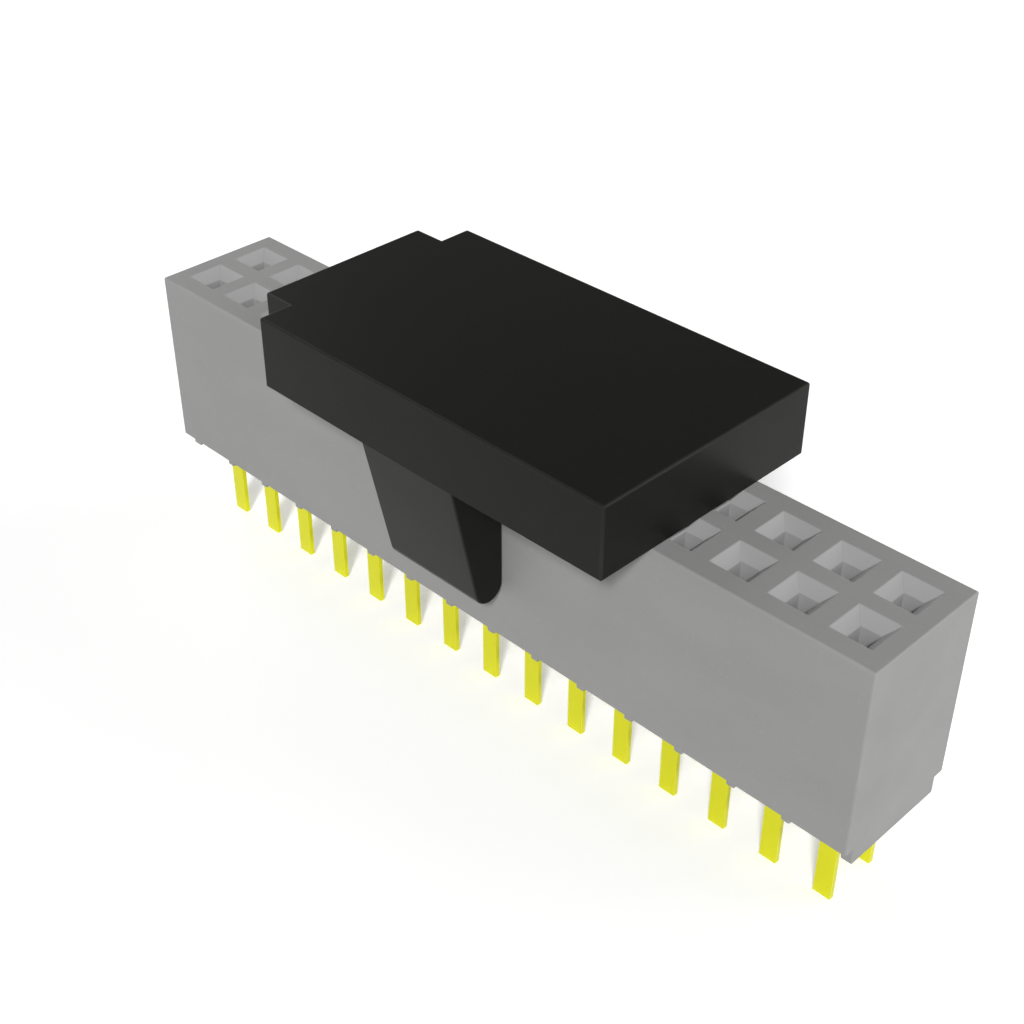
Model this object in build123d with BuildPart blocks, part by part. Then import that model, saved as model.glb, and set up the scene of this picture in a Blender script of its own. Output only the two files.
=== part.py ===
from build123d import *
import os

# A two-row board-to-board socket with its clip-on pick-up pad, in millimetres.
# The origin is the centre of the plane that the socket's stand-off ribs set down
# on the board. +X runs along the rows, +Z points to the side that a header mates with.

# Contact grid, and the square pin of the header that mates with it
COLUMNS = 15
PITCH = 2.54
ROW_SPACING = 2.54
PIN_SIDE = 0.64

# Insulator: outside
END_MARGIN = 0.38
SIDE_MARGIN = 1.77
BODY_HEIGHT = 8.38
BODY_EDGE_BREAK = 0.08

# Stand-off ribs under the insulator, one on each wall between two columns
RIB_HEIGHT = 0.76
RIB_LENGTH = 5.08
RIB_THICKNESS = 0.38
END_RIB_THICKNESS = 0.48

# Pocket for one contact: funnel, neck, room for the beams, room for the base
MOUTH_SIDE = 1.73
NECK_CLEARANCE = 0.09
TOP_WALL = 1.30
POCKET_WALL = 0.64
BASE_ROOM_HEIGHT = 3.34
BASE_ROOM_LEAD_IN = 0.10

# Contact: one strip of spring alloy, stamped and folded
STRIP = 0.25
TAIL_WIDTH = 0.80
TAIL_LENGTH = 3.81
TAIL_TIP_CHAMFER = 0.05
JOG_RISE = 0.90
JOG_RADIUS = 0.35
JOG_SHOULDER = 0.30
BASE_HEIGHT = 2.00
FOLD_RADIUS = 0.36
BARB_REACH = 0.12
BARB_HEIGHT = 0.40
BARB_DROP = 0.55
BEAM_WIDTH = 0.90
BEAM_TIP_WIDTH = 0.62
BEAM_ROOT = 0.30
BEAM_PINCH = 0.12
BEAM_FLARE = 0.28
BEAM_FLARE_LENGTH = 0.80
BEAM_NIP_RADIUS = 0.60

# Pick-up pad with its two grip legs
PAD_LENGTH = 18.48
PAD_WIDTH = 11.42
PAD_THICKNESS = 3.14
PAD_EDGE_BREAK = 0.10
TAB_LENGTH = 1.52
TAB_WIDTH = 8.38
LEG_WIDTH = 5.08
LEG_REACH = 6.15
LEG_TIP_RADIUS = 0.72
LEG_EDGE_BREAK = 0.08

# Fits
CONTACT_SIDE_CLEARANCE = 0.03
CONTACT_STOP_CLEARANCE = 0.04
BARB_CLEARANCE = 0.01
BEAM_SIDE_CLEARANCE = 0.20
BEAM_TIP_CLEARANCE = 0.24
LEG_CLEARANCE = 0.035

# Insulator, worked out from the sizes above
body_length = COLUMNS * PITCH + 2 * END_MARGIN
body_width = ROW_SPACING + 2 * SIDE_MARGIN
body_top = RIB_HEIGHT + BODY_HEIGHT
neck_side = PIN_SIDE + 2 * NECK_CLEARANCE
funnel_depth = (MOUTH_SIDE - neck_side) / 2
ceiling_z = body_top - TOP_WALL
ledge_z = RIB_HEIGHT + BASE_ROOM_HEIGHT
base_room_x = PITCH - POCKET_WALL
base_room_y = ROW_SPACING - POCKET_WALL

# Contact, worked out from its pocket: the middle of each wall's thickness, and heights
side_wall_x = base_room_x / 2 - CONTACT_SIDE_CLEARANCE - STRIP / 2
back_wall_y = base_room_y / 2 - CONTACT_SIDE_CLEARANCE - STRIP / 2
front_edge_y = base_room_y / 2 - BARB_CLEARANCE - BARB_REACH
base_top = ledge_z - CONTACT_STOP_CLEARANCE
base_bottom = base_top - BASE_HEIGHT
beam_tip_z = ceiling_z - BEAM_TIP_CLEARANCE


def make_insulator():
    """The moulded body: a block on cross ribs, with a pocket for every contact."""
    pocket_grid = GridLocations(PITCH, ROW_SPACING, COLUMNS, 2)
    inner_rib_grid = GridLocations(PITCH, 0, COLUMNS - 1, 1)
    end_rib_grid = GridLocations(body_length - END_RIB_THICKNESS, 0, 2, 1)
    with BuildPart() as insulator:
        with BuildSketch(Plane.XY.offset(RIB_HEIGHT)):
            Rectangle(body_length, body_width)
        extrude(amount=BODY_HEIGHT)
        moulded_edges = insulator.edges() - insulator.faces().sort_by(Axis.Z)[0].edges()
        chamfer(moulded_edges, BODY_EDGE_BREAK)

        # neck of each pocket, opened out to a funnel at the mating face
        with BuildSketch(Plane.XY.offset(body_top)):
            with pocket_grid:
                Rectangle(neck_side, neck_side)
        extrude(amount=-TOP_WALL, mode=Mode.SUBTRACT)
        chamfer(insulator.faces().sort_by(Axis.Z)[-1].inner_wires().edges(), funnel_depth)

        # room for the beams, up to the ceiling
        with BuildSketch(Plane.XY.offset(ceiling_z)):
            with pocket_grid:
                Rectangle(base_room_x, BEAM_WIDTH + 2 * BEAM_SIDE_CLEARANCE)
        extrude(amount=ledge_z - ceiling_z, mode=Mode.SUBTRACT)

        # deeper room for the folded base, up to the ledge that stops it
        with BuildSketch(Plane.XY.offset(RIB_HEIGHT)):
            with pocket_grid:
                Rectangle(base_room_x, base_room_y)
        extrude(amount=BASE_ROOM_HEIGHT, mode=Mode.SUBTRACT)
        chamfer(insulator.faces().sort_by(Axis.Z)[0].inner_wires().edges(), BASE_ROOM_LEAD_IN)

        with BuildSketch(Plane.XY.offset(RIB_HEIGHT)):
            with inner_rib_grid:
                Rectangle(RIB_THICKNESS, RIB_LENGTH)
            with end_rib_grid:
                Rectangle(END_RIB_THICKNESS, RIB_LENGTH)
        extrude(amount=-RIB_HEIGHT)
    return insulator.part


def tail_section():
    """The flat tail seen from the side, with the bend that carries it to the back wall."""
    jog_top = base_bottom - JOG_SHOULDER
    with BuildSketch(Plane.YZ) as section:
        with BuildLine():
            FilletPolyline(
                (0, -TAIL_LENGTH),
                (0, jog_top - JOG_RISE),
                (back_wall_y, jog_top),
                (back_wall_y, base_bottom),
                radius=JOG_RADIUS,
            )
        trace(line_width=STRIP)
    return section.sketch


def base_section():
    """The channel seen from above: a back wall and two side walls, folded square."""
    outer_x = 2 * side_wall_x + STRIP
    outer_y = back_wall_y + STRIP / 2 + front_edge_y
    with BuildSketch(Plane.XY.offset(base_bottom)) as section:
        with Locations((0, -front_edge_y)):
            Rectangle(outer_x, outer_y, align=(Align.CENTER, Align.MIN))
            fillet(section.vertices().group_by(Axis.Y)[-1], FOLD_RADIUS)
            Rectangle(
                outer_x - 2 * STRIP,
                outer_y - STRIP,
                align=(Align.CENTER, Align.MIN),
                mode=Mode.SUBTRACT,
            )
    return section.sketch


def barb_section(side):
    """The barb on the front edge of a side wall, which bites the pocket's front wall."""
    barb_tip = front_edge_y + BARB_REACH
    barb_low = base_top - BARB_DROP - BARB_HEIGHT
    with BuildSketch(Plane.YZ.offset(side * side_wall_x)) as section:
        with BuildLine():
            Polyline(
                (-front_edge_y, barb_low),
                (-barb_tip, barb_low),
                (-front_edge_y, barb_low + BARB_HEIGHT),
                close=True,
            )
        make_face()
    return section.sketch


def beam_section(side):
    """A leaf spring seen from the front: it leans in, nips the pin and flares at its tip."""
    nip_x = PIN_SIDE / 2 - BEAM_PINCH + STRIP / 2
    with BuildSketch(Plane.XZ) as section:
        with BuildLine() as spine:
            Polyline(
                (side * side_wall_x, base_top),
                (side * side_wall_x, base_top + BEAM_ROOT),
                (side * nip_x, beam_tip_z - BEAM_FLARE_LENGTH),
                (side * (nip_x + BEAM_FLARE), beam_tip_z),
            )
            fillet(spine.vertices().sort_by(Axis.Y)[2], BEAM_NIP_RADIUS)
        trace(line_width=STRIP)
    return section.sketch


def taper_outline():
    """Seen from the side: all below the beams, and the beams narrowing to their tips."""
    clear_y = base_room_y
    above_tips = beam_tip_z + STRIP
    with BuildSketch(Plane.YZ) as section:
        with BuildLine():
            Polyline(
                (-clear_y, -TAIL_LENGTH),
                (-clear_y, base_top),
                (-BEAM_WIDTH / 2, base_top),
                (-BEAM_TIP_WIDTH / 2, above_tips),
                (BEAM_TIP_WIDTH / 2, above_tips),
                (BEAM_WIDTH / 2, base_top),
                (clear_y, base_top),
                (clear_y, -TAIL_LENGTH),
                close=True,
            )
        make_face()
    return section.sketch


def make_contact():
    """One contact on its own pin axis, with the channel's back wall towards +Y."""
    with BuildPart() as contact:
        extrude(tail_section(), amount=TAIL_WIDTH / 2, both=True)
        extrude(base_section(), amount=BASE_HEIGHT)
        for side in (-1, 1):
            extrude(barb_section(side), amount=STRIP / 2, both=True)
            extrude(beam_section(side), amount=BEAM_WIDTH / 2, both=True)
        extrude(taper_outline(), amount=base_room_x, both=True, mode=Mode.INTERSECT)
        chamfer(contact.faces().sort_by(Axis.Z)[0].edges(), TAIL_TIP_CHAMFER)
    return contact.part


def make_legs():
    """Two wedge legs that grip the insulator's sides, each ending in a full round."""
    leg_inner = body_width / 2 + LEG_CLEARANCE
    tip_centre = (leg_inner + LEG_TIP_RADIUS, body_top - LEG_REACH + LEG_TIP_RADIUS)
    with BuildPart() as legs:
        with BuildSketch(Plane.YZ):
            with BuildLine():
                Line((leg_inner, body_top), (PAD_WIDTH / 2, body_top))
                CenterArc(tip_centre, LEG_TIP_RADIUS, 0, 360)
            make_hull()
            mirror(about=Plane.YZ)
        extrude(amount=LEG_WIDTH / 2, both=True)
        side_edges = legs.faces().filter_by(Axis.X).edges()
        root_edges = legs.faces().sort_by(Axis.Z)[-2:].edges()
        chamfer(side_edges - root_edges, LEG_EDGE_BREAK)
    return legs.part


def make_pad():
    """The pick-up pad: a block with a narrower tab at one end, on its two legs."""
    with BuildPart() as pad:
        with BuildSketch(Plane.XY.offset(body_top)):
            with Locations((TAB_LENGTH / 2, 0)):
                Rectangle(PAD_LENGTH, PAD_WIDTH)
            with Locations((-PAD_LENGTH / 2, 0)):
                Rectangle(TAB_LENGTH, TAB_WIDTH)
        extrude(amount=PAD_THICKNESS)
        moulded_edges = pad.edges() - pad.faces().sort_by(Axis.Z)[0].edges()
        chamfer(moulded_edges, PAD_EDGE_BREAK)
        add(make_legs())
    return pad.part


def save(part, name):
    part.label = name
    export_step(part, f"parts/{name}.step")


os.makedirs("parts", exist_ok=True)

save(make_insulator(), "insulator_body")
save(make_pad(), "pick_and_place_pad")

# The front row's contacts are turned half round, so that all channels open to the middle
formed_contact = make_contact()
for row_name, row_side, turn in (("front", -1, 180), ("back", 1, 0)):
    for column in range(COLUMNS):
        column_x = (column - (COLUMNS - 1) / 2) * PITCH
        row_y = row_side * ROW_SPACING / 2
        with BuildPart() as contact:
            with Locations(Location((column_x, row_y, 0), (0, 0, turn))):
                add(formed_contact)
        save(contact.part, f"contact_{row_name}_{column + 1:02d}")
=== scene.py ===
# %% [markdown]
# # A two-row socket with its pick-up pad
#
# The object is a small moulded socket that joins two circuit boards. A grey block holds
# thirty folded metal contacts, and a black pad is clipped over it, so that the nozzle
# of a placement machine can lift it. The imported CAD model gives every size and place.
# This notebook dresses it: each cell makes one piece or one finish, and says why it was
# made so.

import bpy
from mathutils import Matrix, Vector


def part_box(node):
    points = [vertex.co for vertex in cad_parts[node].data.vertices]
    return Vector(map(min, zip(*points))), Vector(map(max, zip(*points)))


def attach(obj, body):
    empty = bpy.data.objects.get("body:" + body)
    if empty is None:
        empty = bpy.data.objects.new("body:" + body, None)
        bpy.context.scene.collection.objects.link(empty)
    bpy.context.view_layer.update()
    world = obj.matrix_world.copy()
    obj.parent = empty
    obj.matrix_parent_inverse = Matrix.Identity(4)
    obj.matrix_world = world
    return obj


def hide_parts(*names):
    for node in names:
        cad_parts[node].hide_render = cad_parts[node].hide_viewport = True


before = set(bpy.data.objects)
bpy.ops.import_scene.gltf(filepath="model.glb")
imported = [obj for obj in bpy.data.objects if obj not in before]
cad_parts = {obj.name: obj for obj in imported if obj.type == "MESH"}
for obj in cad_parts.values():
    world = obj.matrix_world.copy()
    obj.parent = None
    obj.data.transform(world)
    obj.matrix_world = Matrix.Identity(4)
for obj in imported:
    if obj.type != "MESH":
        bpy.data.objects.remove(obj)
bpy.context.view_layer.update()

# %% Tools that every cell uses
import math

import bmesh
import bpy
from mathutils import Vector

MM = 0.001  # Blender works in metres here, and this part is thought of in millimetres

# %% [markdown]
# ## Sizes read from the frame
#
# The pieces below have to sit exactly where the CAD model has them. So the scene
# measures the CAD nodes instead of repeating their numbers. Two neighbouring contacts
# give the pitch, and the boxes of the block and the pad give the rest.

# %% Measure the frame
COLUMNS = sum(name.startswith("contact_front_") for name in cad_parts)
FRONT_ROW = [f"contact_front_{column:02d}" for column in range(1, COLUMNS + 1)]
BACK_ROW = [f"contact_back_{column:02d}" for column in range(1, COLUMNS + 1)]

block_low, block_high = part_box("insulator_body")
pad_low, pad_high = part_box("pick_and_place_pad")
first_low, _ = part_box(FRONT_ROW[0])
second_low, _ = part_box(FRONT_ROW[1])

pitch = second_low.x - first_low.x
row_y = pitch / 2
block_length = block_high.x - block_low.x
block_width = block_high.y - block_low.y
top_z = block_high.z
tail_tip_z = first_low.z
print(f"{COLUMNS} columns, pitch {pitch / MM:.2f} mm, top {top_z / MM:.2f} mm")
print(f"block {block_length / MM:.2f} x {block_width / MM:.2f} mm")

# %% [markdown]
# ## From modifiers to plain meshes
#
# Every piece ends as a plain mesh whose place is in its vertices. Modifiers and node
# trees make the shapes, because they are easy to change, and `settle` then keeps their
# result. `report` prints what came out, so that a hole in a surface is seen at once.


# %% Mesh helpers
def add_piece(name, mesh):
    """Put a mesh into the scene as an object at the origin."""
    mesh.name = name
    piece = bpy.data.objects.new(name, mesh)
    bpy.context.scene.collection.objects.link(piece)
    return piece


def settle(source, name):
    """Keep what an object and its modifiers make, as a plain mesh object."""
    bpy.context.view_layer.update()
    graph = bpy.context.evaluated_depsgraph_get()
    mesh = bpy.data.meshes.new_from_object(source.evaluated_get(graph))
    bpy.data.objects.remove(source)
    return add_piece(name, mesh)


def report(piece):
    """Print a piece's size and whether its surface is closed."""
    check = bmesh.new()
    check.from_mesh(piece.data)
    open_edges = sum(not edge.is_manifold for edge in check.edges)
    triangles = sum(len(face.verts) - 2 for face in check.faces)
    volume = check.calc_volume() / MM**3
    check.free()
    size = [round(value / MM, 3) for value in piece.dimensions]
    print(f"{piece.name}: {size} mm, {volume:.1f} mm3", end=", ")
    print(f"{triangles} triangles, {open_edges} open edges")


# %% [markdown]
# ## Rounding the edges
#
# Nothing that is moulded or stamped has a perfectly sharp edge. The rounding is a few
# hundredths of a millimetre, but without it no edge catches the light and the piece
# looks like a drawing. A Bevel modifier could round every edge by the same amount, yet
# a real mould has one radius outside, a smaller one round the pocket mouths and none
# where two steel inserts meet. So each edge gets a weight from a rule, and the modifier
# reads it.

# %% Round the edges of a piece by a rule
ROUNDED_ABOVE = math.radians(25)  # between two faces, past which their edge is rounded
ROUND_SEGMENTS = 3
PLAIN_SLOT, ROUNDED_SLOT = 0, 1


def face_mark(piece, name, marks):
    """Give each face a number that a material can read by the attribute's name."""
    attribute = piece.data.attributes.new(name, "FLOAT", "FACE")
    attribute.data.foreach_set("value", marks)


def mark_rounded(piece):
    """Turn the bevel's material slot into a face attribute that a material can read."""
    mesh = piece.data
    marks = [float(face.material_index == ROUNDED_SLOT) for face in mesh.polygons]
    before = mesh.attributes.get("rounded_edge")
    if before:
        marks = [max(mark, old.value) for mark, old in zip(marks, before.data)]
        mesh.attributes.remove(before)
    face_mark(piece, "rounded_edge", marks)
    mesh.polygons.foreach_set("material_index", [PLAIN_SLOT] * len(mesh.polygons))
    mesh.materials.pop(index=ROUNDED_SLOT)
    mesh.attributes.remove(mesh.attributes["bevel_weight_edge"])
    return piece


def round_edges(piece, name, radius_of):
    """Bevel each edge by radius_of(its middle), in metres, and settle the piece."""
    shape = bmesh.new()
    shape.from_mesh(piece.data)
    radii = []
    for edge in shape.edges:
        sharp = edge.is_manifold and edge.calc_face_angle(0) > ROUNDED_ABOVE
        start, end = (vert.co for vert in edge.verts)
        radii.append(radius_of((start + end) / 2) if sharp else 0.0)
    largest = max(radii)
    weights = shape.edges.layers.float.new("bevel_weight_edge")
    for edge, radius in zip(shape.edges, radii):
        edge[weights] = radius / largest
    shape.to_mesh(piece.data)
    shape.free()
    bevel = piece.modifiers.new("edge_radius", "BEVEL")
    bevel.width = largest
    bevel.segments = ROUND_SEGMENTS
    bevel.limit_method = "WEIGHT"
    bevel.use_clamp_overlap = False
    # the slot needs no material: it only tells the new faces from the old ones
    while len(piece.data.materials) <= ROUNDED_SLOT:
        piece.data.materials.append(None)
    bevel.material = ROUNDED_SLOT
    return mark_rounded(settle(piece, name))


# %% [markdown]
# A rounding of three facets only looks round when its shading is smooth, but smooth
# shading alone would bend the light on the large flat faces beside it. Weighted normals
# keep those flat and leave the bending to the narrow faces. A rule can name edges that
# stay crisp.

# %% Smooth roundings between flat faces
CREASED_ABOVE = math.radians(35)  # between two faces, past which the shading breaks


def flat_shading(piece, creased=None):
    """Smooth the rounded edges, keep large faces flat, and crease edges by a rule."""
    mesh = piece.data
    mesh.shade_smooth()
    mesh.set_sharp_from_angle(angle=CREASED_ABOVE)
    if creased:
        for edge in mesh.edges:
            start, end = (mesh.vertices[index].co for index in edge.vertices)
            edge.use_edge_sharp = edge.use_edge_sharp or creased((start + end) / 2)
    normals = piece.modifiers.new("flat_faces", "WEIGHTED_NORMAL")
    normals.weight = 100  # the largest of the faces round a corner decides its normal
    normals.keep_sharp = True
    return settle(piece, piece.name)


# %% [markdown]
# ## The insulator
#
# The real block is injected round a row of steel core pins, and each pin leaves one
# pocket: a funnel that guides the mating pin, a square neck, a room where the two beams
# can spread, and a deeper room for the folded base. The scene does the same. One core
# pin is drawn, Geometry Nodes sets it out on the grid, and a boolean takes all thirty
# from a plain block. The alternative, thirty modelled pockets, would be far more work
# to change. The pin and the block are both stacks of rectangles, so one helper makes
# them.

# %% A solid through rectangles
CORNERS = ((-1, -1), (1, -1), (1, 1), (-1, 1))  # of a square, in order round it
SLIVER_AREA = (0.001 * MM) ** 2


def loft_rectangles(name, sections):
    """A closed solid through rectangles: size along x, size along y, height."""
    shape = bmesh.new()
    rings = []
    for size_x, size_y, z in sections:
        half_x, half_y = size_x / 2, size_y / 2
        rings.append([shape.verts.new((x * half_x, y * half_y, z)) for x, y in CORNERS])
    for lower, upper in zip(rings, rings[1:]):
        for i in range(4):
            j = (i + 1) % 4
            shape.faces.new((lower[i], lower[j], upper[j], upper[i]))
    shape.faces.new(rings[0][::-1])
    shape.faces.new(rings[-1])
    # where two rings share a side, the walls above and below it become one flat wall
    for face in [face for face in shape.faces if face.calc_area() < SLIVER_AREA]:
        shared = sorted(face.edges, key=lambda edge: edge.calc_length())[-2:]
        bmesh.ops.dissolve_edges(shape, edges=shared, use_verts=False)
    mesh = bpy.data.meshes.new(name)
    shape.to_mesh(mesh)
    shape.free()
    return add_piece(name, mesh)


# %% One core pin
MOUTH_SIDE = 1.73 * MM
NECK_SIDE = 0.82 * MM
TOP_WALL = 1.30 * MM
BEAM_ROOM = (1.90 * MM, 1.30 * MM)
BASE_ROOM = 1.90 * MM
LEDGE_HEIGHT = 4.10 * MM
LEAD_IN = 0.10 * MM
RIB_HEIGHT = 0.76 * MM
CORE_PIN_RADIUS = 0.02 * MM
PAST = 0.30 * MM  # how far a cutter runs past the face that it cuts

ceiling_z = top_z - TOP_WALL
funnel_depth = (MOUTH_SIDE - NECK_SIDE) / 2
# the lead-in and the funnel open at 45 degrees, and go on so past the block
lead_in_low = BASE_ROOM + 2 * (LEAD_IN + PAST)
mouth_high = MOUTH_SIDE + 2 * PAST
core_pin_sharp = loft_rectangles(
    "core_pin_sharp",
    [
        (lead_in_low, lead_in_low, RIB_HEIGHT - PAST),
        (BASE_ROOM, BASE_ROOM, RIB_HEIGHT + LEAD_IN),
        (BASE_ROOM, BASE_ROOM, LEDGE_HEIGHT),
        (*BEAM_ROOM, LEDGE_HEIGHT),
        (*BEAM_ROOM, ceiling_z),
        (NECK_SIDE, NECK_SIDE, ceiling_z),
        (NECK_SIDE, NECK_SIDE, top_z - funnel_depth),
        (mouth_high, mouth_high, top_z + PAST),
    ],
)
core_pin = round_edges(core_pin_sharp, "core_pin", lambda middle: CORE_PIN_RADIUS)
face_mark(core_pin, "cored_face", [1.0] * len(core_pin.data.polygons))
report(core_pin)

# %% [markdown]
# The block before its pockets is a box that is rounded outside and on top. Its
# underside keeps sharp edges, because the end ribs run down flush from the end walls
# there.

# %% The blank block
BLOCK_EDGE_RADIUS = 0.08 * MM


def blank_radius(middle):
    """The upright and the top edges are rounded, those of the underside aren't."""
    return BLOCK_EDGE_RADIUS if middle.z > RIB_HEIGHT + PAST else 0.0


block_size = (block_length, block_width)
blank_ends = [(*block_size, RIB_HEIGHT), (*block_size, top_z)]
blank_sharp = loft_rectangles("blank_sharp", blank_ends)
block_blank = round_edges(blank_sharp, "block_blank", blank_radius)
report(block_blank)

# %% [markdown]
# ## Node trees as tools
#
# A node tree is easier to read when each node is one line. `add_node` makes a node and
# `fill` sets its sockets, where another node's output becomes a link. The short
# functions after them stand for the sums, lines of points, copies and booleans that the
# trees below share, so that each tree reads like a recipe.


# %% Helpers for every tree
def fill(tree, node, inputs):
    """Set a node's sockets by name or number, or link them to another node's output."""
    for key, value in inputs.items():
        if isinstance(value, bpy.types.NodeSocket):
            tree.links.new(value, node.inputs[key])
        else:
            node.inputs[key].default_value = value


def add_node(tree, kind, inputs=None, **settings):
    """Add a node, set its settings, then fill its sockets."""
    node = tree.nodes.new(kind)
    for name, value in settings.items():
        setattr(node, name, value)
    fill(tree, node, inputs or {})
    return node


def new_group(name, kind, inputs, outputs):
    """Start a node group from lists of (name, socket type, default value)."""
    tree = bpy.data.node_groups.new(name, kind)
    for label, socket, default in inputs:
        item = tree.interface.new_socket(label, in_out="INPUT", socket_type=socket)
        if default is not None:
            item.default_value = default
    for label, socket in outputs:
        tree.interface.new_socket(label, in_out="OUTPUT", socket_type=socket)
    given = tree.nodes.new("NodeGroupInput").outputs
    return tree, given, tree.nodes.new("NodeGroupOutput")


def math_node(tree, operation, first, second):
    """The result of an operation on two numbers or outputs."""
    terms = {0: first, 1: second}
    return add_node(tree, "ShaderNodeMath", terms, operation=operation).outputs[0]


def vector_node(tree, **parts):
    """A vector from its parts X, Y and Z. A part that isn't given is zero."""
    return add_node(tree, "ShaderNodeCombineXYZ", parts).outputs[0]


def range_node(tree, value, source=(0.0, 1.0), target=(0.0, 1.0), **settings):
    """The value carried over from one range to another."""
    ends = {"Value": value, "From Min": source[0], "From Max": source[1]}
    ends |= {"To Min": target[0], "To Max": target[1]}
    return add_node(tree, "ShaderNodeMapRange", ends, **settings).outputs[0]


# %% Helpers for trees that make shapes
def reach_of(tree, count, gap):
    """The distance from the first to the last of evenly spaced things."""
    return math_node(tree, "MULTIPLY", math_node(tree, "SUBTRACT", count, 1.0), gap)


def line_along_x(tree, count, gap, y=0.0):
    """Points in a line along x, centred on x = 0."""
    start_x = math_node(tree, "MULTIPLY", reach_of(tree, count, gap), -0.5)
    line = {"Count": count, "Start Location": vector_node(tree, X=start_x, Y=y)}
    line["Offset"] = vector_node(tree, X=gap)
    return add_node(tree, "GeometryNodeMeshLine", line).outputs[0]


def copies_on(tree, points, instance):
    """Real copies of a mesh on points."""
    placed = {"Points": points, "Instance": instance}
    copies = add_node(tree, "GeometryNodeInstanceOnPoints", placed).outputs[0]
    return add_node(tree, "GeometryNodeRealizeInstances", {0: copies}).outputs[0]


def boolean_node(tree, operation, solids, base=None):
    """An exact boolean of solids with each other, or with a base."""
    settings = {"operation": operation, "solver": "EXACT"}
    boolean = add_node(tree, "GeometryNodeMeshBoolean", **settings)
    if base is not None:
        fill(tree, boolean, {"Mesh 1": base})
    for solid in solids:
        fill(tree, boolean, {"Mesh 2": solid})
    return boolean.outputs["Mesh"]


def end_tree(tree, geometry, material, result):
    """End a tree in real geometry, because the export drops instances."""
    real = add_node(tree, "GeometryNodeRealizeInstances", {0: geometry}).outputs[0]
    coloured = {"Geometry": real, "Material": material}
    coloured = add_node(tree, "GeometryNodeSetMaterial", coloured).outputs[0]
    fill(tree, result, {"Geometry": coloured})


# %% [markdown]
# The tree below is the mould. Its inputs are named after the product, so the same tree
# gives a socket with another number of contacts. The ribs are sunk a little into the
# walls between the pockets, so that the union has no two faces lying exactly on each
# other.


# %% The tree that moulds the block
def build_mould_tree():
    """Block minus core pins, plus stand-off ribs."""
    tree, given, result = new_group(
        "mould_socket_block",
        "GeometryNodeTree",
        [
            ("Block Blank", "NodeSocketObject", None),
            ("Core Pin", "NodeSocketObject", None),
            ("Columns", "NodeSocketInt", None),
            ("Pitch", "NodeSocketFloat", None),
            ("Rib Size", "NodeSocketVector", None),
            ("End Rib Size", "NodeSocketVector", None),
            ("End Rib Gap", "NodeSocketFloat", None),
            ("Material", "NodeSocketMaterial", None),
        ],
        [("Geometry", "NodeSocketGeometry")],
    )

    def rib(size):
        """A box that stands on the seating plane."""
        rise = add_node(tree, "ShaderNodeSeparateXYZ", {0: size}).outputs["Z"]
        lift = vector_node(tree, Z=math_node(tree, "MULTIPLY", rise, 0.5))
        cube = add_node(tree, "GeometryNodeMeshCube", {"Size": size}).outputs["Mesh"]
        lifted = {0: cube, "Translation": lift}
        return add_node(tree, "GeometryNodeTransform", lifted).outputs[0]

    # the plain block, and the core pins that leave its two rows of pockets
    blank = add_node(tree, "GeometryNodeObjectInfo", {"Object": given["Block Blank"]})
    reach = reach_of(tree, given["Columns"], given["Pitch"])
    grid = {"Size X": reach, "Size Y": given["Pitch"]}
    grid |= {"Vertices X": given["Columns"], "Vertices Y": 2}
    grid = add_node(tree, "GeometryNodeMeshGrid", grid)
    pin = add_node(tree, "GeometryNodeObjectInfo", {"Object": given["Core Pin"]})
    pins = copies_on(tree, grid.outputs["Mesh"], pin.outputs["Geometry"])
    cut = boolean_node(tree, "DIFFERENCE", [pins], base=blank.outputs["Geometry"])

    # ribs on the walls between the columns, and a thicker one at each end
    walls = math_node(tree, "SUBTRACT", given["Columns"], 1.0)
    wall_line = line_along_x(tree, walls, given["Pitch"])
    inner_ribs = copies_on(tree, wall_line, rib(given["Rib Size"]))
    end_line = line_along_x(tree, 2, given["End Rib Gap"])
    end_ribs = copies_on(tree, end_line, rib(given["End Rib Size"]))
    joined = boolean_node(tree, "UNION", [cut, inner_ribs, end_ribs])
    end_tree(tree, joined, given["Material"], result)
    return tree


mould_tree = build_mould_tree()
print("mould tree:", len(mould_tree.nodes), "nodes")

# %% [markdown]
# A tree runs as a modifier on an empty seed object. A modifier's input is found by the
# socket's identifier, not by its name, and all inputs are filled before the first run.


# %% Run a tree once
def grow(tree, name, values):
    """Run a Geometry Nodes tree once and return its result as a plain mesh object."""
    seed = add_piece(name + "_seed", bpy.data.meshes.new(name + "_seed"))
    modifier = seed.modifiers.new("grow", "NODES")
    modifier.node_group = tree
    for item in tree.interface.items_tree:
        is_input = item.item_type == "SOCKET" and item.in_out == "INPUT"
        if is_input and item.name in values:
            modifier[item.identifier] = values[item.name]
    return settle(seed, name)


# %% [markdown]
# The trees end in Set Material, so the materials have to be there when a tree runs.
# They are made empty here and get their nodes further down, where each finish is
# explained.

# %% Empty materials for the three finishes
grey_plastic = bpy.data.materials.new("grey_moulded_plastic")
black_plastic = bpy.data.materials.new("black_moulded_plastic")
yellow_plating = bpy.data.materials.new("yellow_plating")
print("still empty:", grey_plastic.name, black_plastic.name, yellow_plating.name)

# %% Mould the block
RIB_LENGTH = 5.08 * MM
RIB_THICKNESS = 0.38 * MM
END_RIB_THICKNESS = 0.48 * MM
RIB_SINK = 0.20 * MM

rib_rise = RIB_HEIGHT + RIB_SINK
block_sharp = grow(
    mould_tree,
    "block_sharp",
    {
        "Block Blank": block_blank,
        "Core Pin": core_pin,
        "Columns": COLUMNS,
        "Pitch": pitch,
        "Rib Size": (RIB_THICKNESS, RIB_LENGTH, rib_rise),
        "End Rib Size": (END_RIB_THICKNESS, RIB_LENGTH, rib_rise),
        "End Rib Gap": block_length - END_RIB_THICKNESS,
        "Material": grey_plastic,
    },
)
report(block_sharp)

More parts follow.
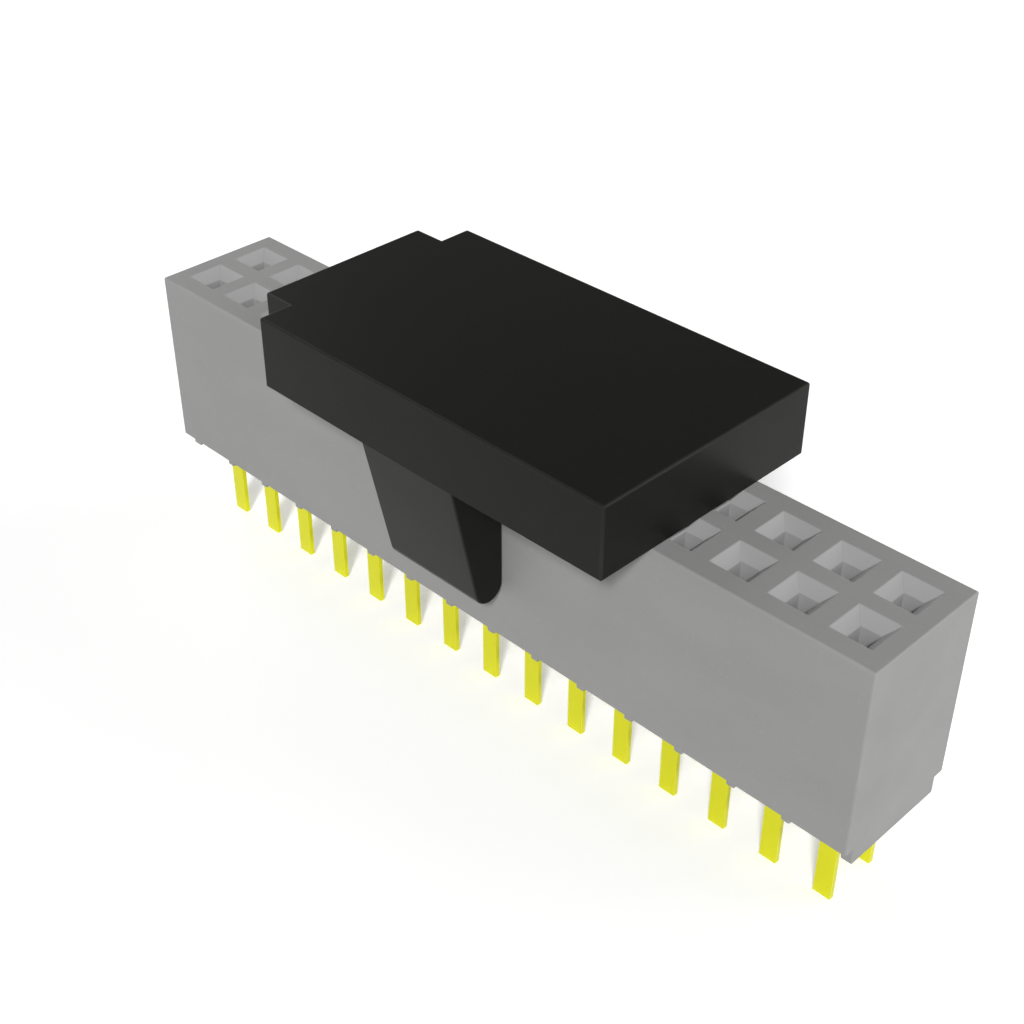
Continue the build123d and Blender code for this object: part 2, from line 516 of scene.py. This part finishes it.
# %% Round what the cutting left sharp
MOUTH_RADIUS = 0.035 * MM
RIB_RADIUS = 0.05 * MM
HAIR = 0.002 * MM  # two heights nearer than this are the same


def moulded_radius(middle):
    """The mouths of the pockets, the ends of the ribs and the long edges underneath."""
    beside_pockets = abs(middle.y) > RIB_LENGTH / 2 - HAIR
    if middle.z > top_z - HAIR:
        return MOUTH_RADIUS
    if middle.z < HAIR or (middle.z < RIB_HEIGHT + HAIR and beside_pockets):
        return RIB_RADIUS
    return 0.0


block = flat_shading(round_edges(block_sharp, "socket_block", moulded_radius))
report(block)
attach(block, "root")
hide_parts("insulator_body")
for tool in (core_pin, block_blank):
    bpy.data.objects.remove(tool)

# %% [markdown]
# ## The contacts
#
# A contact is stamped from thin strip, folded into a channel and pressed into its
# pocket from below. The CAD solid already has every fold, so it isn't drawn again. One
# node's mesh is copied, its loose triangles are merged into flat faces, and its edges
# are rounded as a press rounds them. Thirty of them are then set out by Geometry Nodes,
# a row at a time, because a change to one contact then changes all of them.

# %% One refined contact, moved to its own pin axis
MIDDLE_CONTACT = BACK_ROW[COLUMNS // 2]
STRIP_EDGE_RADIUS = 0.03 * MM
MERGE_DISTANCE = 0.0005 * MM
FLAT_WITHIN = math.radians(1)  # between two triangles of one flat face


def merged_copy(node_name, name):
    """A copy of a CAD node's mesh with its triangles merged into flat faces."""
    shape = bmesh.new()
    shape.from_mesh(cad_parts[node_name].data)
    bmesh.ops.remove_doubles(shape, verts=shape.verts, dist=MERGE_DISTANCE)
    whole = {"verts": shape.verts, "edges": shape.edges}
    bmesh.ops.dissolve_limit(shape, angle_limit=FLAT_WITHIN, **whole)
    mesh = bpy.data.meshes.new(name)
    shape.to_mesh(mesh)
    shape.free()
    return add_piece(name, mesh)


contact_sharp = merged_copy(MIDDLE_CONTACT, "contact_sharp")
report(contact_sharp)
for vert in contact_sharp.data.vertices:
    vert.co.y -= row_y
contact = round_edges(contact_sharp, "contact", lambda middle: STRIP_EDGE_RADIUS)
contact = flat_shading(contact)
report(contact)

# %% [markdown]
# The press shears the strip, and the narrow sides of a tail are its sheared faces. The
# plating paints them brighter than the rolled faces, a painted highlight. A face
# attribute marks them, and the copies keep it.

# %% Mark the sheared sides of the tail
SIDEWAYS = 0.9  # the share of x in the normal of a face that looks sideways

sheared = [
    float(abs(face.normal.x) > SIDEWAYS and face.center.z < RIB_HEIGHT)
    for face in contact.data.polygons
]
face_mark(contact, "sheared_side", sheared)
print("sheared faces:", int(sum(sheared)))


# %% The tree that sets out a row of contacts
def build_row_tree():
    """Turned copies of one contact along x, each with its own plating tone."""
    tree, given, result = new_group(
        "set_out_contact_row",
        "GeometryNodeTree",
        [
            ("Contact", "NodeSocketObject", None),
            ("Columns", "NodeSocketInt", None),
            ("Pitch", "NodeSocketFloat", None),
            ("Row Y", "NodeSocketFloat", None),
            ("Turn", "NodeSocketFloat", None),
            ("Seed", "NodeSocketInt", None),
            ("Material", "NodeSocketMaterial", None),
        ],
        [("Geometry", "NodeSocketGeometry")],
    )
    shape = add_node(tree, "GeometryNodeObjectInfo", {"Object": given["Contact"]})
    placed = {
        "Points": line_along_x(tree, given["Columns"], given["Pitch"], given["Row Y"]),
        "Instance": shape.outputs["Geometry"],
        "Rotation": vector_node(tree, Z=given["Turn"]),
    }
    row = add_node(tree, "GeometryNodeInstanceOnPoints", placed).outputs[0]
    tone = add_node(tree, "FunctionNodeRandomValue", {"Seed": given["Seed"]})
    stored = {"Geometry": row, "Name": "plating_tone", "Value": tone.outputs["Value"]}
    toned = add_node(tree, "GeometryNodeStoreNamedAttribute", stored, domain="INSTANCE")
    end_tree(tree, toned.outputs[0], given["Material"], result)
    return tree


row_tree = build_row_tree()
print("row tree:", len(row_tree.nodes), "nodes")

# %% Two rows of contacts, back to back
rows = {  # place along y, turn, CAD nodes, and the seed of the plating tones
    "front_contacts": (-row_y, math.pi, FRONT_ROW, 3),
    "back_contacts": (row_y, 0.0, BACK_ROW, 8),
}
for name, (place, turn, nodes, seed) in rows.items():
    values = {"Contact": contact, "Columns": COLUMNS, "Pitch": pitch, "Row Y": place}
    values |= {"Turn": turn, "Seed": seed, "Material": yellow_plating}
    row = grow(row_tree, name, values)
    report(row)
    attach(row, "root")
    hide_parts(*nodes)
bpy.data.objects.remove(contact)

# %% [markdown]
# ## The pick-up pad
#
# The pad is one moulding: a thick plate with a narrower tab at one end, and two wedge
# legs that hug the socket. The plate is an extruded outline. A leg is the hull of its
# root line and of the full round at its tip, so its outline is that line, an arc and
# two tangents. Both shapes are short lists of corners, which is easier to follow than a
# boolean of boxes.


# %% A solid from an outline
def extrude_outline(name, outline, lift):
    """A closed solid from a list of corners and the vector that it is extruded by."""
    shape = bmesh.new()
    base = shape.faces.new([shape.verts.new(corner) for corner in outline])
    grown = bmesh.ops.extrude_face_region(shape, geom=[base])["geom"]
    top = [item for item in grown if isinstance(item, bmesh.types.BMVert)]
    bmesh.ops.translate(shape, verts=top, vec=lift)
    bmesh.ops.recalc_face_normals(shape, faces=shape.faces)
    mesh = bpy.data.meshes.new(name)
    shape.to_mesh(mesh)
    shape.free()
    return add_piece(name, mesh)


# %% Outlines of the plate and of a leg
TAB_LENGTH = 1.52 * MM
TAB_WIDTH = 8.38 * MM
LEG_WIDTH = 5.08 * MM
LEG_TIP_RADIUS = 0.72 * MM
LEG_CLEARANCE = 0.035 * MM
TIP_STEPS = 16
LEG_SINK = 0.50 * MM


def plate_outline():
    """The plate seen from above, with its tab at the low end of x."""
    tab_x = pad_low.x + TAB_LENGTH
    half_width, half_tab = pad_high.y, TAB_WIDTH / 2
    one_side = [(pad_high.x, half_width), (tab_x, half_width), (tab_x, half_tab)]
    one_side.append((pad_low.x, half_tab))
    other_side = [(x, -y) for x, y in reversed(one_side)]
    return [(x, y, top_z) for x, y in one_side + other_side]


def leg_outline(side):
    """A leg seen along x: its root in the plate, a tangent, the tip and a tangent."""
    inner_y = block_width / 2 + LEG_CLEARANCE
    tip_y, tip_z = inner_y + LEG_TIP_RADIUS, pad_low.z + LEG_TIP_RADIUS
    reach_y, reach_z = pad_high.y - tip_y, top_z - tip_z
    to_root = math.atan2(reach_z, reach_y)
    start = to_root - math.acos(LEG_TIP_RADIUS / math.hypot(reach_y, reach_z))
    end = -math.pi  # the inner side stands upright beside the block
    outline = [(pad_high.y, top_z)]
    for step in range(TIP_STEPS + 1):
        angle = start + (end - start) * step / TIP_STEPS
        rim_y = tip_y + math.cos(angle) * LEG_TIP_RADIUS
        rim_z = tip_z + math.sin(angle) * LEG_TIP_RADIUS
        outline.append((rim_y, rim_z))
    outline += [(inner_y, top_z + LEG_SINK), (pad_high.y - LEG_SINK, top_z + LEG_SINK)]
    return [(-LEG_WIDTH / 2, side * y, z) for y, z in outline]


# %% Join the plate and its legs
def fuse(piece, others, name):
    """Join solids that overlap into one closed solid."""
    for other in others:
        union = piece.modifiers.new("union", "BOOLEAN")
        union.operation = "UNION"
        union.solver = "EXACT"
        union.object = other
    fused = settle(piece, name)
    for other in others:
        bpy.data.objects.remove(other)
    return fused


plate = extrude_outline("plate", plate_outline(), (0, 0, pad_high.z - top_z))
legs = [
    extrude_outline(f"leg_{side}", leg_outline(side), (LEG_WIDTH, 0, 0))
    for side in (-1, 1)
]
pad_sharp = fuse(plate, legs, "pad_sharp")
report(pad_sharp)

# %% Round the edges of the pad
PLATE_EDGE_RADIUS = 0.10 * MM
UNDERSIDE_RADIUS = 0.06 * MM
LEG_EDGE_RADIUS = 0.08 * MM


def at_leg_root(middle):
    """Where a leg leaves the plate, at the height of the plate's underside."""
    return abs(middle.z - top_z) < HAIR and abs(middle.x) < LEG_WIDTH / 2 + HAIR


def pad_radius(middle):
    """Generous edges on the plate and the legs, and a crisp line where they meet."""
    if at_leg_root(middle):
        return 0.0
    if middle.z > top_z + HAIR:
        return PLATE_EDGE_RADIUS
    return UNDERSIDE_RADIUS if middle.z > top_z - HAIR else LEG_EDGE_RADIUS


pad = round_edges(pad_sharp, "pick_up_pad", pad_radius)
pad = flat_shading(pad, creased=at_leg_root)
pad.data.materials.clear()
pad.data.materials.append(black_plastic)
report(pad)
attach(pad, "root")
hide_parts("pick_and_place_pad")

# %% [markdown]
# ## The skin of a moulded part
#
# Seen from a hand's breadth away, moulded plastic isn't one colour. The melt leaves
# long faint clouds along the way it flowed, the filler shows as tiny light specks, and
# the spark-eroded mould prints its fine grain on every face. Both plastics share this
# skin, so it is one shader group. It puts out a tone, a mask of specks and a height,
# and each material turns them into its own colours, roughness and bump.

# %% Shader group: moulded skin
SPECK_START = 0.75  # the noise where a speck starts, before its share lowers it
SPECK_FULL = 0.80  # the noise where a speck has its whole colour


def noise_node(tree, place, scale, detail):
    """Noise from 0 to 1. The scale is one over the size of its features, in metres."""
    texture = {"Vector": place, "Scale": scale, "Detail": detail}
    return add_node(tree, "ShaderNodeTexNoise", texture).outputs["Fac"]


def build_moulded_skin():
    """Clouds along the flow, filler specks and mould grain, as numbers from 0 to 1."""
    tree, given, result = new_group(
        "moulded_skin",
        "ShaderNodeTree",
        [
            ("Cloud Size", "NodeSocketFloat", 2.0),
            ("Flow Stretch", "NodeSocketFloat", 3.0),
            ("Speck Size", "NodeSocketFloat", 0.08),
            ("Speck Share", "NodeSocketFloat", 0.1),
            ("Grain Size", "NodeSocketFloat", 0.06),
        ],
        [(label, "NodeSocketFloat") for label in ("Tone", "Specks", "Height")],
    )

    def scale_for(label):
        """The noise scale for features whose size is given in millimetres."""
        return math_node(tree, "DIVIDE", 1 / MM, given[label])

    place = add_node(tree, "ShaderNodeTexCoord").outputs["Object"]
    squeeze = math_node(tree, "DIVIDE", 1.0, given["Flow Stretch"])
    flow = {"Vector": place, "Scale": vector_node(tree, X=squeeze, Y=1.0, Z=1.0)}
    flow = add_node(tree, "ShaderNodeMapping", flow).outputs[0]
    clouds = noise_node(tree, flow, scale_for("Cloud Size"), detail=4.0)
    spots = noise_node(tree, flow, scale_for("Speck Size"), detail=1.0)
    grain = noise_node(tree, place, scale_for("Grain Size"), detail=3.0)
    start = math_node(tree, "SUBTRACT", SPECK_START, given["Speck Share"])
    specks = range_node(tree, spots, source=(start, SPECK_FULL))
    fill(tree, result, {"Tone": clouds, "Specks": specks, "Height": grain})
    return tree


moulded_skin = build_moulded_skin()
print("moulded skin:", len(moulded_skin.nodes), "nodes")

# %% [markdown]
# ## Colours
#
# Colours are picked in the display's own numbers, from 0 to 255, and Blender's
# sockets want them linear. One small function turns one into the other. The other
# helpers mix two colours, read the number that a face carries and raise a fine relief,
# as every finish below does.

# %% Colour helpers and the shell of a material
WHITE = (1.0, 1.0, 1.0, 1.0)


def display_colour(red, green, blue):
    """A colour of the display, 0 to 255, as the linear colour that a socket wants."""
    linear = []
    for part in (red / 255, green / 255, blue / 255):
        # the display's standard curve, which is a straight line near black
        near_black, above = part / 12.92, ((part + 0.055) / 1.055) ** 2.4
        linear.append(near_black if part <= 0.04045 else above)
    return (*linear, 1.0)


def mixed_colour(tree, factor, first, second):
    """The colour that lies this share of the way from the first to the second."""
    # a Mix node has sockets of the same name for each kind of value, so the ones for
    # colours are found by number
    mix = {"Factor": factor, 6: first, 7: second}
    return add_node(tree, "ShaderNodeMix", mix, data_type="RGBA").outputs[2]


def face_value(tree, name):
    """The number that faces carry under this name."""
    return add_node(tree, "ShaderNodeAttribute", attribute_name=name).outputs["Fac"]


def relief_node(tree, height, depth):
    """The normal of a surface with this height map. The depth is in metres."""
    relief = {"Height": height, "Distance": depth}
    return add_node(tree, "ShaderNodeBump", relief).outputs[0]


def empty_tree(owner):
    """The node tree of a material or a world, without the nodes that it came with."""
    owner.use_nodes = True
    owner.node_tree.nodes.clear()
    return owner.node_tree


def start_material(material):
    """Empty a material's tree and give it a Principled BSDF on its output."""
    tree = empty_tree(material)
    shader = add_node(tree, "ShaderNodeBsdfPrincipled")
    add_node(tree, "ShaderNodeOutputMaterial", {"Surface": shader.outputs["BSDF"]})
    return tree, shader


# %% [markdown]
# ## The two plastics
#
# The grey block and the black pad are moulded the same way, in different plastics. The
# grey one is filled and satin. The black one is smoother but reflects less, so that its
# top stays black under the sky. The pocket walls are painted lighter than the outside,
# painted light that lifts the shade in the pockets, and the rounded edges carry a
# painted highlight that is stronger where the tone is. The numbers that are the same
# all over are set on the shader itself. Only what changes over the surface comes
# through the skin group.


# %% Moulded plastic
def moulded_plastic(material, colours, gloss, roughness, grain_depth, skin_values):
    """Fill a material with moulded plastic: tone, painted pocket light, specks, painted
    edge highlight.
    """
    tree, shader = start_material(material)
    colours = {part: display_colour(*rgb) for part, rgb in colours.items()}
    skin = add_node(tree, "ShaderNodeGroup", skin_values, node_tree=moulded_skin)
    tone, specks = skin.outputs["Tone"], skin.outputs["Specks"]
    # the pocket walls get a lighter colour: painted light that lifts the shade in the
    # pockets
    cored = face_value(tree, "cored_face")
    # the rounded edges get a painted highlight, stronger where the tone is
    painted_edge_highlight = math_node(tree, "MULTIPLY", face_value(tree, "rounded_edge"), tone)
    colour = mixed_colour(tree, tone, colours["dark"], colours["light"])
    for part, mask in {"pocket": cored, "speck": specks, "edge": painted_edge_highlight}.items():
        colour = mixed_colour(tree, mask, colour, colours[part])
    smoothest, roughest = roughness
    finish = {"Base Color": colour, "Specular IOR Level": gloss}
    finish["Roughness"] = range_node(tree, tone, target=(roughest, smoothest))
    finish["Normal"] = relief_node(tree, skin.outputs["Height"], grain_depth)
    fill(tree, shader, finish)
    print(material.name, "has", len(tree.nodes), "nodes")


# %% Grey and black
moulded_plastic(
    grey_plastic,
    colours={
        "dark": (148, 147, 147),
        "light": (156, 156, 155),
        # pocket: painted light on the pocket walls
        "pocket": (169, 169, 169),
        "speck": (161, 161, 160),
        # edge: painted highlight on the rounded edges
        "edge": (160, 160, 159),
    },
    gloss=0.25,
    roughness=(0.42, 0.54),
    grain_depth=0.004 * MM,
    skin_values={
        "Cloud Size": 2.4,
        "Flow Stretch": 2.5,
        "Speck Size": 0.06,
        "Speck Share": 0.08,
        "Grain Size": 0.07,
    },
)
moulded_plastic(
    black_plastic,
    colours={
        "dark": (27, 27, 25),
        "light": (32, 32, 30),
        # pocket: painted light on pocket walls, which the pad doesn't have
        "pocket": (30, 30, 28),
        "speck": (42, 42, 40),
        # edge: painted highlight on the rounded edges
        "edge": (50, 50, 48),
    },
    gloss=0.08,
    roughness=(0.28, 0.38),
    grain_depth=0.003 * MM,
    skin_values={
        "Cloud Size": 3.0,
        "Flow Stretch": 1.6,
        "Speck Size": 0.06,
        "Speck Share": 0.05,
        "Grain Size": 0.08,
    },
)

# %% [markdown]
# ## The plating
#
# The contacts are copper alloy under a bright yellow plating. The strip was rolled, so
# fine lines run along it, and the barrel plating leaves each contact a little
# different. The tone that Geometry Nodes stored on each copy carries that difference,
# and faint stains are added to it. The sheared sides of the tails are painted brighter
# than the rolled faces, a painted highlight.

# %% Bright yellow plating
ROLLED_DULL = display_colour(215, 214, 36)
ROLLED_BRIGHT = display_colour(223, 223, 44)
# the narrow sheared sides of the tails: a painted highlight, brighter than the rolled
# faces
PAINTED_SIDE_HIGHLIGHT = display_colour(248, 248, 84)
PLATING_ROUGHNESS = (0.30, 0.36)
LINE_WIDTH = 0.035 * MM
LINE_STRETCH = 0.03  # the pattern's scale along the strip, as a share of that across it
LINE_DEPTH = 0.0002 * MM
STAIN_SIZE = 0.9 * MM

tree, plating = start_material(yellow_plating)
place = add_node(tree, "ShaderNodeTexCoord").outputs["Object"]
along_strip = {"Vector": place, "Scale": (1.0, 1.0, LINE_STRETCH)}
along_strip = add_node(tree, "ShaderNodeMapping", along_strip).outputs[0]
lines = noise_node(tree, along_strip, 1 / LINE_WIDTH, detail=2.0)
stains = noise_node(tree, place, 1 / STAIN_SIZE, detail=3.0)
tone = math_node(tree, "ADD", face_value(tree, "plating_tone"), stains)
tone = math_node(tree, "MULTIPLY", tone, 0.5)
rolled = mixed_colour(tree, tone, ROLLED_DULL, ROLLED_BRIGHT)
# the sheared sides get the painted highlight colour
colour = mixed_colour(tree, face_value(tree, "sheared_side"), rolled, PAINTED_SIDE_HIGHLIGHT)
finish = {"Base Color": colour, "Metallic": 1.0}
finish["Roughness"] = range_node(tree, lines, target=PLATING_ROUGHNESS)
finish["Normal"] = relief_node(tree, lines, LINE_DEPTH)
fill(tree, plating, finish)
print(yellow_plating.name, "has", len(tree.nodes), "nodes")

# %% [markdown]
# ## The floor
#
# The socket stands on its tails on a pale floor. The floor takes the shadow like paper,
# and shows itself a little brighter to the camera and to reflections, which makes the
# background white without putting more light on the object. It is there from above
# only: a camera that looks up from below sees straight through it to the underside.

# %% Pale floor
FLOOR_REACH = 2.0  # metres from the object to the floor's edges, far past the picture's
FLOOR_PAPER = display_colour(234, 234, 234)
FLOOR_GLOW = 0.40


def sight_rays(tree):
    """Whether a ray is the camera's own, and whether it was mirrored or let through."""
    rays = add_node(tree, "ShaderNodeLightPath").outputs
    mirrored = rays["Is Glossy Ray"], rays["Is Transmission Ray"]
    return rays["Is Camera Ray"], math_node(tree, "MAXIMUM", *mirrored)


floor_corners = [(x * FLOOR_REACH, y * FLOOR_REACH, tail_tip_z) for x, y in CORNERS]
floor_mesh = bpy.data.meshes.new("floor")
floor_mesh.from_pydata(floor_corners, [], [(0, 1, 2, 3)])
floor = add_piece("floor", floor_mesh)
pale_floor = bpy.data.materials.new("pale_floor")
floor.data.materials.append(pale_floor)

tree = empty_tree(pale_floor)
seen = math_node(tree, "MAXIMUM", *sight_rays(tree))
glow = {"Color": WHITE, "Strength": math_node(tree, "MULTIPLY", seen, FLOOR_GLOW)}
glow = add_node(tree, "ShaderNodeEmission", glow).outputs[0]
paper = add_node(tree, "ShaderNodeBsdfDiffuse", {"Color": FLOOR_PAPER}).outputs[0]
lit = add_node(tree, "ShaderNodeAddShader", {0: paper, 1: glow}).outputs[0]
from_below = add_node(tree, "ShaderNodeNewGeometry").outputs["Backfacing"]
nothing = add_node(tree, "ShaderNodeBsdfTransparent").outputs[0]
one_sided = {0: from_below, 1: lit, 2: nothing}
one_sided = add_node(tree, "ShaderNodeMixShader", one_sided).outputs[0]
add_node(tree, "ShaderNodeOutputMaterial", {"Surface": one_sided})
print(f"floor at z = {tail_tip_z / MM:.2f} mm")

# %% [markdown]
# ## The lamps
#
# Three far lamps stand round the object. The key stands beside the camera, so that its
# light reaches down into the pockets, and two wide fills lift the ends and the back.
# Their levels are shares of the light that shows a colour as it is written.

# %% Studio lamps
LAMPS = {  # level, azimuth, elevation and width in degrees
    "key_light": (0.74, 36.0, 40.0, 8.0),
    "right_fill": (0.34, 135.0, 24.0, 50.0),
    "left_fill": (0.28, 265.0, 25.0, 50.0),
}


def direction(azimuth, elevation):
    """From the object to a place on the sky; azimuth 0 is in front, 90 is at +x."""
    turn, rise = math.radians(azimuth), math.radians(elevation)
    flat = math.cos(rise)
    return Vector((math.sin(turn) * flat, -math.cos(turn) * flat, math.sin(rise)))


def far_lamp(name, level, azimuth, elevation, width):
    """A far lamp that lights a facing white surface to the given level."""
    lamp = bpy.data.lights.new(name, "SUN")
    lamp.energy = level * math.pi
    lamp.angle = math.radians(width)
    stand = bpy.data.objects.new(name, lamp)
    stand.rotation_mode = "QUATERNION"
    stand.rotation_quaternion = direction(azimuth, elevation).to_track_quat("Z", "Y")
    bpy.context.scene.collection.objects.link(stand)
    print(f"{name}: level {level}, azimuth {azimuth}, elevation {elevation}")


for name, values in LAMPS.items():
    far_lamp(name, *values)

# %% [markdown]
# ## The room
#
# The room has white walls and a dim ceiling. The walls give the upright faces their
# light and every shiny edge something pale to show, and the dim ceiling keeps the top
# of the black pad black. The camera sees white in every direction.

# %% Studio room
WALL_LEVEL = 0.9
CEILING_LEVEL = 0.07
WALL_TOP = (0.03, 0.29)  # sine of the elevation where the wall starts to fade, and ends

world = bpy.data.worlds.new("studio")
bpy.context.scene.world = world
tree = empty_tree(world)
sight = add_node(tree, "ShaderNodeTexCoord").outputs["Generated"]
height = add_node(tree, "ShaderNodeSeparateXYZ", {0: sight}).outputs["Z"]


def fading(at_wall, at_ceiling):
    """A value that goes smoothly from the walls to the ceiling."""
    smooth = {"interpolation_type": "SMOOTHSTEP"}
    return range_node(tree, height, WALL_TOP, (at_wall, at_ceiling), **smooth)


room = {"Color": WHITE, "Strength": fading(WALL_LEVEL, CEILING_LEVEL)}
room = add_node(tree, "ShaderNodeBackground", room).outputs[0]
backdrop = {"Color": WHITE, "Strength": 1.0}
backdrop = add_node(tree, "ShaderNodeBackground", backdrop).outputs[0]
direct, mirrored = sight_rays(tree)
mirrored = math_node(tree, "MULTIPLY", mirrored, fading(1.0, 0.0))
seen = math_node(tree, "MAXIMUM", direct, mirrored)
sky = add_node(tree, "ShaderNodeMixShader", {0: seen, 1: room, 2: backdrop}).outputs[0]
add_node(tree, "ShaderNodeOutputWorld", {"Surface": sky})
print(f"walls {WALL_LEVEL}, ceiling {CEILING_LEVEL}")

# %% [markdown]
# ## The camera
#
# The photograph shows the part from above one corner, along the direction that makes
# equal angles with all three axes, with a moderate lens. Its field of view, distance
# and target were fitted to the corners of the block, the pad and the pocket mouths.

# %% Camera
VIEW_AZIMUTH = 45.0
VIEW_ELEVATION = math.degrees(math.atan(1 / math.sqrt(2)))
FIELD_OF_VIEW = 35.0
CAMERA_DISTANCE = 67.41 * MM
TARGET = Vector((0.0, 0.0, 4.238 * MM))
NEAREST, FARTHEST = 1.0 * MM, 10.0  # metres from the camera that it can see

camera = bpy.data.objects.new("camera", bpy.data.cameras.new("camera"))
bpy.context.scene.collection.objects.link(camera)
towards_camera = direction(VIEW_AZIMUTH, VIEW_ELEVATION)
camera.location = TARGET + towards_camera * CAMERA_DISTANCE
camera.rotation_mode = "QUATERNION"
camera.rotation_quaternion = towards_camera.to_track_quat("Z", "Y")
camera.data.angle = math.radians(FIELD_OF_VIEW)
camera.data.clip_start = NEAREST
camera.data.clip_end = FARTHEST
bpy.context.scene.camera = camera
bpy.context.scene.view_settings.view_transform = "Standard"
print(f"lens {camera.data.lens:.2f} mm, {CAMERA_DISTANCE / MM:.2f} mm from its target")
